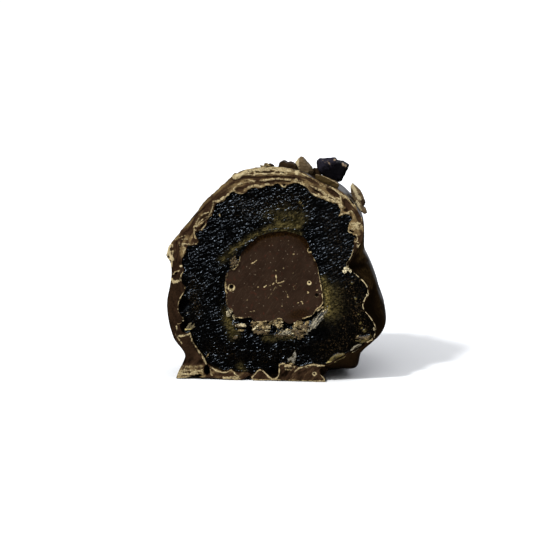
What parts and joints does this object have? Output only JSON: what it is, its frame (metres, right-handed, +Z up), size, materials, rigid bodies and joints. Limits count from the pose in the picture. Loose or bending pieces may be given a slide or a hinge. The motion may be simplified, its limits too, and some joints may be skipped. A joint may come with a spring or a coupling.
{
  "type": "chocolate-covered date",
  "caption": "Half of a filled date in a dark chocolate coat, cut across to show the ganache centre and date flesh, with cocoa nibs on top.",
  "frame": {"origin": "on the table, under the date's axis and halfway along its length", "axes": "+Z up; +Y along the date's axis from the cut towards the rounded end; +X to the right as seen facing the cut"},
  "size_m": [0.0302, 0.0238, 0.0311],
  "materials": {
    "chocolate": "dark chocolate, satin outside and matte where it is broken",
    "date_flesh": "nearly black, moist and grainy",
    "ganache": "brown, smooth and dull"
  },
  "bodies": {
    "root": {"chocolate_coat": "chocolate", "date_flesh": "date_flesh", "ganache_filling": "ganache"}
  },
  "joints": []
}
